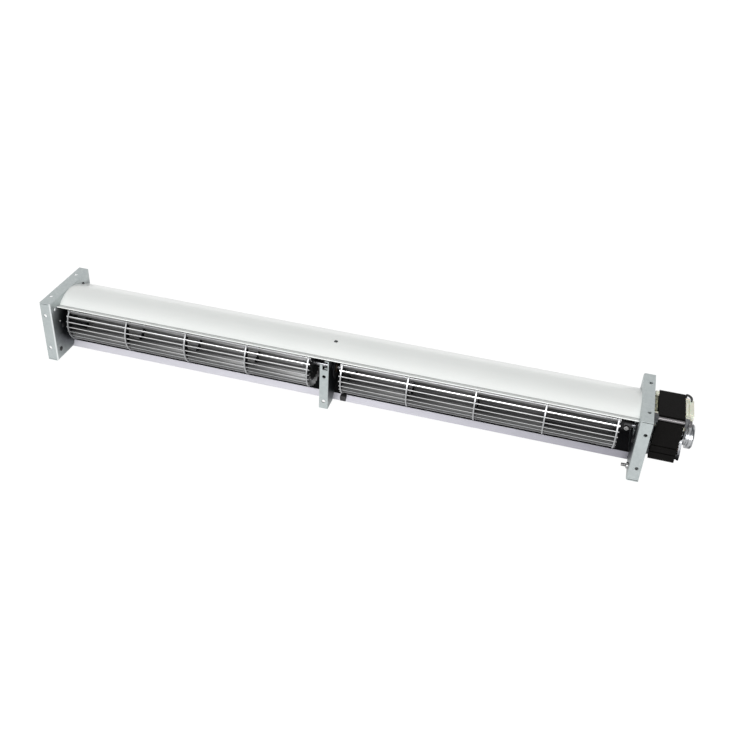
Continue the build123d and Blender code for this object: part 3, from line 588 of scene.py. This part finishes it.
# %% Moulded black rubber
rubber, tree, shader, place = new_finish("moulded_black_rubber", "#1C1C1D", 0.0, 0.62)
grain = add_node(tree, "ShaderNodeTexNoise", {"Vector": place, "Scale": per_mm(0.5), "Detail": 3.0})
relief = add_node(tree, "ShaderNodeBump", {"Height": grain, "Strength": 0.25, "Distance": 0.05 * MM})
tree.links.new(relief.outputs[0], shader.inputs["Normal"])
blotch(tree, shader, place, size_mm=6.0, detail=3.0, low_tone="#171718", high_tone="#2B2B2D")

# %% Sintered bronze and bare copper
bronze, tree, shader, place = new_finish("sintered_bronze", "#2A2119", 0.7, 0.5)
pores = add_node(tree, "ShaderNodeTexVoronoi", {"Vector": place, "Scale": per_mm(0.4)})
relief = add_node(tree, "ShaderNodeBump", {"Height": pores, "Strength": 0.2, "Distance": 0.05 * MM})
tree.links.new(relief.outputs[0], shader.inputs["Normal"])

copper, tree, shader, place = new_finish("drawn_copper", "#B87050", 1.0, 0.32)
blotch(tree, shader, place, size_mm=3.0, detail=4.0, low_tone="#8E5138", high_tone="#C98363")

# %% [markdown]
# Every part of the model now gets its finish by name.

# %% Dress the parts of the model
finish_of = {
    "left_end_plate": galvanised,
    "right_end_plate": galvanised,
    "middle_bracket": galvanised,
    "casing": coated,
    "tongue_plate": tongue_zinc,
    "wheel_blades": blade_aluminium,
    "wheel_rings": ring_aluminium,
    "wheel_end_discs": disc_aluminium,
    "left_stub_shaft": ground_steel,
    "middle_shaft": ground_steel,
    "motor_shaft": ground_steel,
    "coupling_hub": black_oxide,
    "motor_rotor": ground_steel,
    "coupling_rubber": rubber,
    "bearing_grommets": rubber,
    "motor_lead": rubber,
    "wheel_bearings": bronze,
    "motor_bearings": bronze,
    "motor_core": core_varnish,
    "shading_rings": copper,
    "motor_coil": tape,
    "coil_bobbin": nylon,
    "inner_motor_bracket": zinc_in_painted_shade,
    "outer_motor_bracket": cast_zinc,
    "motor_tie_bolts": bolt_steel,
    "motor_mount_screws": zinc_plate,
    "plate_screw": zinc_plate,
}
for name, node in nodes.items():
    for material_slot in node.material_slots:
        material_slot.material = finish_of[name]
print("dressed:", len(finish_of))

# %% [markdown]
# ## Fine parts: how they are made
#
# Most small parts of a motor are turned, so one helper covers them: it skins a stack of rings
# round an axis. A ring's radius may be a function of the angle, and that makes hexagon heads,
# cross recesses and screw threads from the same few lines. A second helper turns a finished mesh
# into a piece that rides on its body and wears its finish.


# %% Turned parts and finished pieces
def turned(mesh, rings, centre, closed=False, sides=48, turn=None):
    """Skins rings of (distance along the axis, radius) in mm. The axis is X unless it is turned."""
    place = Matrix.Translation(Vector(centre))
    if turn is not None:
        place = place @ turn.to_4x4()
    loops = []
    for along, radius in rings:
        loop = []
        for step in range(sides):
            angle = 2 * math.pi * step / sides
            reach = radius(angle) if callable(radius) else radius
            point = Vector((along, reach * math.cos(angle), reach * math.sin(angle)))
            loop.append(mesh.verts.new((place @ point) * MM))
        loops.append(loop)
    pairs = list(zip(loops, loops[1:]))
    if closed:
        pairs.append((loops[-1], loops[0]))
    else:
        mesh.faces.new(loops[0])
        mesh.faces.new(loops[-1])
    for first, second in pairs:
        for step in range(sides):
            after = (step + 1) % sides
            mesh.faces.new((first[step], first[after], second[after], second[step]))


def piece(name, mesh, finish, body, smooth_below=32):
    """Makes the mesh an object, smooth where faces meet at less than that many degrees."""
    bmesh.ops.recalc_face_normals(mesh, faces=mesh.faces)
    data = bpy.data.meshes.new(name)
    mesh.to_mesh(data)
    mesh.free()
    data.shade_smooth()
    data.set_sharp_from_angle(angle=math.radians(smooth_below))
    data.materials.append(finish)
    made = bpy.data.objects.new(name, data)
    bpy.context.scene.collection.objects.link(made)
    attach(made, body)
    print(name, "faces:", len(data.polygons))
    return made


# %% [markdown]
# ## The wheels
#
# Each ring of a real wheel is a flat washer of sheet with a slot for every blade. The model keeps
# its outer hoop. The washer's web is added here: it runs inwards, with the blades through it, to a
# rolled inner edge, and it is what closes the view into the wheel behind each bright hoop.

# %% Ring webs
ring_places = [start + length * index / bays for start, length in wheels for index in range(bays + 1)]
web_inner, web_outer, web_half = 21.0, 29.4, 0.45
edge = [(0.7, web_inner), (0.9, web_inner + 0.3), (web_half, web_inner + 0.8), (web_half, web_outer)]
web = [(-along, radius) for along, radius in reversed(edge)] + edge
mesh = bmesh.new()
for ring_x in ring_places:
    turned(mesh, web, (ring_x, 0, axis_height), closed=True, sides=78)
piece("wheel_ring_webs", mesh, ring_aluminium, "rotor")

# %% [markdown]
# The end discs are stiffened by a pressed bead round the hub and a lower one further out.

# %% Beads on the end discs
disc_places = [(start + length * end, 2 * end - 1) for start, length in wheels for end in (0, 1)]
disc_half = 0.7
bead_profile = [(0, -1.3), (0.7, -0.7), (1, 0), (0.7, 0.7), (0, 1.3)]
mesh = bmesh.new()
for disc_x, outward in disc_places:
    face = disc_x + outward * disc_half
    for bead_radius, bead_height in ((12.0, 0.9), (19.2, 0.5)):
        turned(mesh, [(face + outward * bead_height * share, bead_radius + aside)
                      for share, aside in bead_profile], (0, 0, axis_height), closed=True, sides=60)
piece("disc_beads", mesh, disc_aluminium, "rotor")

# %% [markdown]
# ## Screws and bolts
#
# A screw is one stack of rings: cross recess, chamfered hexagon head, shank, then the thread. The
# thread's radius falls and rises once per pitch along the screw, shifted by the angle, so it winds
# round as a real one does. M4 threads have a pitch of 0.7 mm. The plate screw has a nut on the
# wheels' side, and the motor screws' heads are there too.


# %% Screw maker
def hexagon(across, limit):
    """Radius of a hexagon across flats at an angle, no more than the limit."""
    sixth = math.pi / 3
    return lambda angle: min(limit, across / 2 / math.cos((angle + sixth / 2) % sixth - sixth / 2))


def cross(arm, half_width):
    """Radius of a plus sign at an angle, for a screwdriver's recess."""
    def radius(angle):
        along, aside = abs(math.cos(angle)) + 1e-6, abs(math.sin(angle)) + 1e-6
        return max(min(arm / along, half_width / aside), min(arm / aside, half_width / along))
    return radius


def thread(distance, radius, depth, pitch):
    """Radius of a thread at an angle, that far along the screw."""
    return lambda angle: radius - depth * (0.5 + 0.5 * math.cos(2 * math.pi * distance / pitch - angle))


def screw(mesh, centre, towards, length, threaded, across=7.0, head=2.5, shank=2.0, pitch=0.7):
    """A hexagon screw. The centre is under its head, and it points along X as towards says."""
    rings = [(-head + 1.0, cross(0.9, 0.3)), (-head, cross(1.7, 0.5)), (-head, across * 0.46),
             (-head + 0.3, hexagon(across, across * 0.52)), (-head + 0.7, hexagon(across, across)),
             (-0.3, hexagon(across, across)), (-0.3, across * 0.6), (0, across * 0.6), (0, shank)]
    plain = length - threaded
    if plain > 0:
        rings.append((plain, shank))
    steps = int(threaded / pitch * 5)
    for step in range(1, steps):
        distance = plain + threaded * step / steps
        rings.append((distance, thread(distance, shank, 0.4, pitch)))
    rings += [(length - 0.2, shank - 0.4), (length, shank - 0.9)]
    turn = Matrix.Rotation(0 if towards > 0 else math.pi, 3, "Z")
    turned(mesh, rings, centre, turn=turn)


# %% Plate screw and motor screws
corner_y, corner_z = -37.5, 12.7
mesh = bmesh.new()
screw(mesh, (plate_outer, corner_y, corner_z), towards=-1, length=9.2, threaded=8.4)
turned(mesh, [(348.4, 2.0), (348.4, hexagon(7.0, 3.8)), (346.4, hexagon(7.0, 3.8)),
              (346.0, hexagon(7.0, 3.5)), (346.0, 2.0)], (0, corner_y, corner_z), closed=True)
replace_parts(piece("plate_screw_threaded", mesh, zinc_plate, "frame"),
            "plate_screw")

mesh = bmesh.new()
for side in (-26.0, 26.0):
    screw(mesh, (plate_inner, side, axis_height), towards=1, length=10.2, threaded=4.0, head=2.3)
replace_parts(piece("motor_screws_black", mesh, black_oxide, "frame"),
            "motor_mount_screws")

# %% [markdown]
# The core is clamped by two long bolts. One lies in a notch along its top front edge, pale
# against the black stack. Their heads are outside, and a nut closes each near the plate.

# %% Tie bolts and nuts
bolt_seat, nut_seat, nut_end, nut_across = 399.9, 362.9, 360.3, 7.0
mesh = bmesh.new()
for side, height in ((-24.5, 74.0), (19.0, 26.0)):
    screw(mesh, (bolt_seat, side, height), towards=-1, length=40.6, threaded=8.0, head=2.8)
    turned(mesh, [(nut_seat, 2.1), (nut_seat, hexagon(nut_across, 3.8)),
                  (nut_end + 0.4, hexagon(nut_across, 9)), (nut_end, hexagon(nut_across, 3.6)),
                  (nut_end, 2.1)], (0, side, height), closed=True)
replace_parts(piece("tie_bolts_with_nuts", mesh, bolt_steel, "frame"),
            "motor_tie_bolts")

# %% [markdown]
# ## Rubber, hub and bushes
#
# The bushes sit in rubber so that the wheels don't hum through the sheet metal. A grommet grips
# the sheet with a collar on each side. The coupling is a rubber sleeve with ribs, moulded on the
# disc, and a steel hub with a clamp screw on the motor shaft.

# %% Grommets and coupling
bracket_face = -2.196
grommet = [(-2.5, 7.2), (-2.5, 9.0), (-2.1, 9.4), (-2.1, 11.6), (-2.5, 12.0), (-2.5, 13.4), (-2.0, 14.2),
           (-1.0, 14.5), (0, 14.2), (0, 12.1), (1.2, 12.1), (1.2, 13.6), (1.8, 13.9), (2.3, 13.2),
           (2.4, 9.0), (2.4, 7.2)]
mesh = bmesh.new()
for seat in (-plate_outer, bracket_face):
    turned(mesh, grommet, (seat, 0, axis_height), closed=True)
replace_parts(piece("moulded_grommets", mesh, rubber, "frame"), "bearing_grommets")

sleeve_start, sleeve_length, sleeve_radius = 329.55, 7.0, 7.6
groove_depth, grooves, steps, rim = 0.6, 3, 28, 1.5
sleeve = [(0.0, sleeve_radius - rim), (0.0, sleeve_radius)]
for step in range(1, steps):
    dip = groove_depth * (0.5 - 0.5 * math.cos(2 * math.pi * grooves * step / steps))
    sleeve.append((sleeve_length * step / steps, sleeve_radius - dip))
sleeve += [(sleeve_length, sleeve_radius), (sleeve_length, sleeve_radius - rim)]
mesh = bmesh.new()
turned(mesh, sleeve, (sleeve_start, 0, axis_height))
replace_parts(piece("ribbed_coupling_sleeve", mesh, rubber, "rotor"), "coupling_rubber")

hub_middle = 339.4
mesh = bmesh.new()
turned(mesh, [(7.8, cross(1.2, 0.5)), (8.8, cross(1.6, 0.6)), (8.8, 2.5), (8.4, 2.9), (6.4, 2.9)],
       (hub_middle, 0, axis_height), turn=Matrix.Rotation(-math.pi / 2, 3, "Z"), sides=32)
piece("hub_clamp_screw", mesh, zinc_plate, "rotor")

# %% [markdown]
# A spring clip holds the left stub shaft outside its bush.

# %% Shaft clip
clip_outer, clip_inner = -353.7, -352.9
mesh = bmesh.new()
turned(mesh, [(clip_outer, 3.0), (clip_outer, 5.2), (clip_inner, 5.2), (clip_inner, 3.0)],
       (0, 0, axis_height), closed=True)
piece("stub_shaft_clip", mesh, black_oxide, "rotor")

# %% [markdown]
# ## The motor's core and coil
#
# The core's edge is never quite flush: each sheet stands a little in or out of the next. Thin
# bands, a tenth of a millimetre proud, give that edge in real geometry all round the stack. The
# sheets are half a millimetre thick, which would not show, so the bands are one millimetre apart.
# They follow the core's outline with its bolt notch and four side grooves.

# %% Lamination edges
outline = [(-26, 20), (26, 20), (26, 28.8), (24.8, 28.8), (24.8, 30.4), (26, 30.4), (26, 37.8),
           (24.8, 37.8), (24.8, 39.4), (26, 39.4), (26, 77), (-21.8, 77), (-21.8, 71.4), (-26, 71.4),
           (-26, 39.4), (-24.8, 39.4), (-24.8, 37.8), (-26, 37.8), (-26, 30.4), (-24.8, 30.4),
           (-24.8, 28.8), (-26, 28.8)]
core_start, core_length = 367.4, 28.0
band_pitch, band_width, band_height = 1.0, 0.5, 0.12
proud = []
for index, (y, z) in enumerate(outline):
    before = Vector(outline[index]) - Vector(outline[index - 1])
    after = Vector(outline[(index + 1) % len(outline)]) - Vector(outline[index])
    outward = Vector((before.y, -before.x)).normalized() + Vector((after.y, -after.x)).normalized()
    proud.append((y + outward.x * band_height, z + outward.y * band_height))
mesh = bmesh.new()
for band in range(int(core_length / band_pitch)):
    start = core_start + (band + 0.25) * band_pitch
    end = start + band_width
    rows = []
    for x, ring in ((start, outline), (start, proud), (end, proud), (end, outline)):
        rows.append([mesh.verts.new(Vector((x, y, z)) * MM) for y, z in ring])
    for low, high in zip(rows, rows[1:]):
        for index in range(len(outline)):
            after = (index + 1) % len(outline)
            mesh.faces.new((low[index], low[after], high[after], high[index]))
piece("lamination_edges", mesh, core_varnish, "frame", smooth_below=20)

# %% [markdown]
# The winding's end swells out of the core next to the plate. Tape is wound round it with a half
# overlap, so it shows a step every few millimetres. The cross-section is a rounded rectangle.


# %% Taped winding ends
def taped(mesh, centre, width, height, length, wraps):
    """A bundle along Y with that cross-section in mm, stepped by its tape."""
    def section(scale):
        def radius(angle):
            along = abs(math.cos(angle)) / (width / 2)
            aside = abs(math.sin(angle)) / (height / 2)
            return scale * (along ** 4 + aside ** 4) ** -0.25
        return radius
    rings = []
    wrap_steps = 6
    steps = wraps * wrap_steps
    for step in range(steps + 1):
        share = step / steps
        end_pull = 1 - 0.3 * abs(2 * share - 1) ** 6
        wrap_height = 0.95 + 0.05 * (step % wrap_steps) / (wrap_steps - 1)
        rings.append((length * (share - 0.5), section(end_pull * wrap_height)))
    turned(mesh, rings, centre, turn=Matrix.Rotation(math.pi / 2, 3, "Z"))


mesh = bmesh.new()
taped(mesh, (364.9, 0, 68.6), width=4.6, height=16.4, length=33.6, wraps=9)
piece("taped_winding_end", mesh, tape, "frame")

# %% [markdown]
# ## Terminal block and lead
#
# The block on top of the bobbin has a raised rib by the core, a lid with rounded corners, and a
# small dark screw on a pad. The bobbin's other flange ends in a corner block near the plate. A
# short black lead leaves the block's top, bends over the back cheek and goes down outside.


# %% Slabs with rounded edges
def slab(mesh, low, high, round_mm):
    """A box between two corners in mm, its edges rounded."""
    made = bmesh.ops.create_cube(mesh, size=1.0)["verts"]
    size = Vector(high) - Vector(low)
    middle = (Vector(high) + Vector(low)) / 2
    for vertex in made:
        vertex.co = (middle + Vector(a * b for a, b in zip(size, vertex.co))) * MM
    edges = list({edge for vertex in made for edge in vertex.link_edges})
    bmesh.ops.bevel(mesh, geom=edges, offset=round_mm * MM, segments=3, profile=0.5, affect="EDGES")


# %% Terminal lid, corner block and terminal screw
block_parts = {
    "lid": ((399.6, -11.6, 76.3), (404.5, 12.0, 77.6), 0.5),
    "rib": ((396.1, -12.2, 76.2), (398.6, 9.0, 78.2), 0.4),
    "screw pad": ((399.8, 13.0, 76.2), (404.3, 16.8, 77.0), 0.3),
    "corner block": ((362.9, 15.0, 76.4), (366.9, 20.2, 79.4), 0.4),
}
mesh = bmesh.new()
for low, high, round_mm in block_parts.values():
    slab(mesh, low, high, round_mm)
piece("terminal_lid", mesh, nylon, "frame")

pad_x, pad_y = 402.0, 14.6
mesh = bmesh.new()
turned(mesh, [(76.9, 1.1), (77.3, 1.1), (77.5, 0.9), (77.5, 0.7)], (pad_x, pad_y, 0), sides=24,
       turn=Matrix.Rotation(-math.pi / 2, 3, "Y"))
piece("terminal_screw", mesh, black_oxide, "frame")

# %% Motor lead
lead_points = [(402.3, 17.6, 74.0), (402.4, 18.4, 77.0), (401.2, 20.4, 78.5), (398.4, 22.2, 79.0),
               (396.2, 24.2, 78.2), (396.6, 24.0, 73.4), (397.9, 19.0, 71.0)]
curve = bpy.data.curves.new("motor_lead_wire", "CURVE")
curve.dimensions = "3D"
curve.bevel_depth = 1.35 * MM
curve.bevel_resolution = 5
curve.use_fill_caps = True
spline = curve.splines.new("NURBS")
spline.points.add(len(lead_points) - 1)
for point, place in zip(spline.points, lead_points):
    point.co = [*(Vector(place) * MM), 1.0]
spline.order_u = 3
spline.use_endpoint_u = True
spline.resolution_u = 10
curve.materials.append(rubber)
lead = bpy.data.objects.new("motor_lead_wire", curve)
bpy.context.scene.collection.objects.link(lead)
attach(lead, "frame")
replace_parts(lead, "motor_lead")
print("lead points:", len(lead_points))

# %% [markdown]
# ## The boss
#
# The bright boss that ends the motor holds its outer bush. A pressed cap closes the oil felt
# behind it, with a rolled edge and a shallow dimple.

# %% Boss cap
cap = [(409.8, 1.0), (410.2, 2.2), (410.7, 3.0), (410.8, 6.6), (410.3, 7.2), (410.5, 8.2), (410.2, 8.8),
       (409.75, 8.9)]
mesh = bmesh.new()
turned(mesh, cap, (0, 0, axis_height), sides=64)
piece("boss_cap", mesh, zinc_plate, "frame")

# %% [markdown]
# ## Marks on the sheet metal
#
# Spot welds leave small raised marks on the plates' outer faces, where the casing's tabs are
# joined, and the left plate has a rivet beside the wheel. The casing's lip is folded tight, with a
# grey strip in the fold as painted shade, and its front edge is turned in as a smooth round hem.

# %% Weld marks
mark_profile = [(0, 1.8), (0.12, 1.53), (0.3, 0.9), (0.34, 0.1)]
mesh = bmesh.new()
for outward in (-1, 1):
    mark = [(outward * (plate_outer + rise), radius) for rise, radius in mark_profile]
    for y, z in ((-11.5, 75.0), (12.0, 75.0), (41.5, 25.0), (41.5, 31.0)):
        turned(mesh, mark, (0, y, z), sides=24)
piece("weld_marks", mesh, galvanised, "frame")

rivet = [(0, 1.5), (0.6, 1.4), (1.0, 0.9), (1.1, 0.1)]
mesh = bmesh.new()
turned(mesh, rivet, (-plate_inner, -30.5, 49.7), sides=24)
piece("web_rivet", mesh, zinc_plate, "frame")

# %% Lip fold and hem
lip_half = 348.4
crease_y, crease_z, crease_radius = -26.6, 69.6, 0.42
mesh = bmesh.new()
# The strip along the crease carries painted shade.
turned(mesh, [(-lip_half, crease_radius), (lip_half, crease_radius)], (0, crease_y, crease_z), sides=12)
piece("lip_fold_line", mesh, crease_painted_shade, "frame")

hem_y, hem_z, hem_radius = -32.7, 70.7, 0.7
mesh = bmesh.new()
turned(mesh, [(-lip_half, hem_radius), (lip_half, hem_radius)], (0, hem_y, hem_z), sides=16)
piece("lip_hem", mesh, coated, "frame")

# %% [markdown]
# Rubber plugs close three spare holes in the left plate's web, and a dark pad over the strip
# beside the bracket stands in for the shadow there.

# %% Plugs and the shadow pad
plug = [(-2.1, 1.7), (-1.2, 1.9), (0, 1.9), (0.1, 2.8), (0.5, 2.9), (0.9, 2.3), (1.0, 0.8)]
mesh = bmesh.new()
for y, z in ((corner_y, corner_z), (29.4, 69.3), (-26.0, axis_height)):
    turned(mesh, plug, (-plate_inner, y, z), sides=32)
# A dark pad where the strip has only shadow: painted shadow.
slab(mesh, (8.1, -11.8, 0.9), (15.1, -6.2, 7.7), round_mm=0.5)
piece("web_plugs_and_shadow_pad", mesh, rubber, "frame")

# %% [markdown]
# ## The view transform
#
# A plain view transform shows colours about as they were written.

# %% View transform
bpy.context.scene.view_settings.view_transform = "Standard"
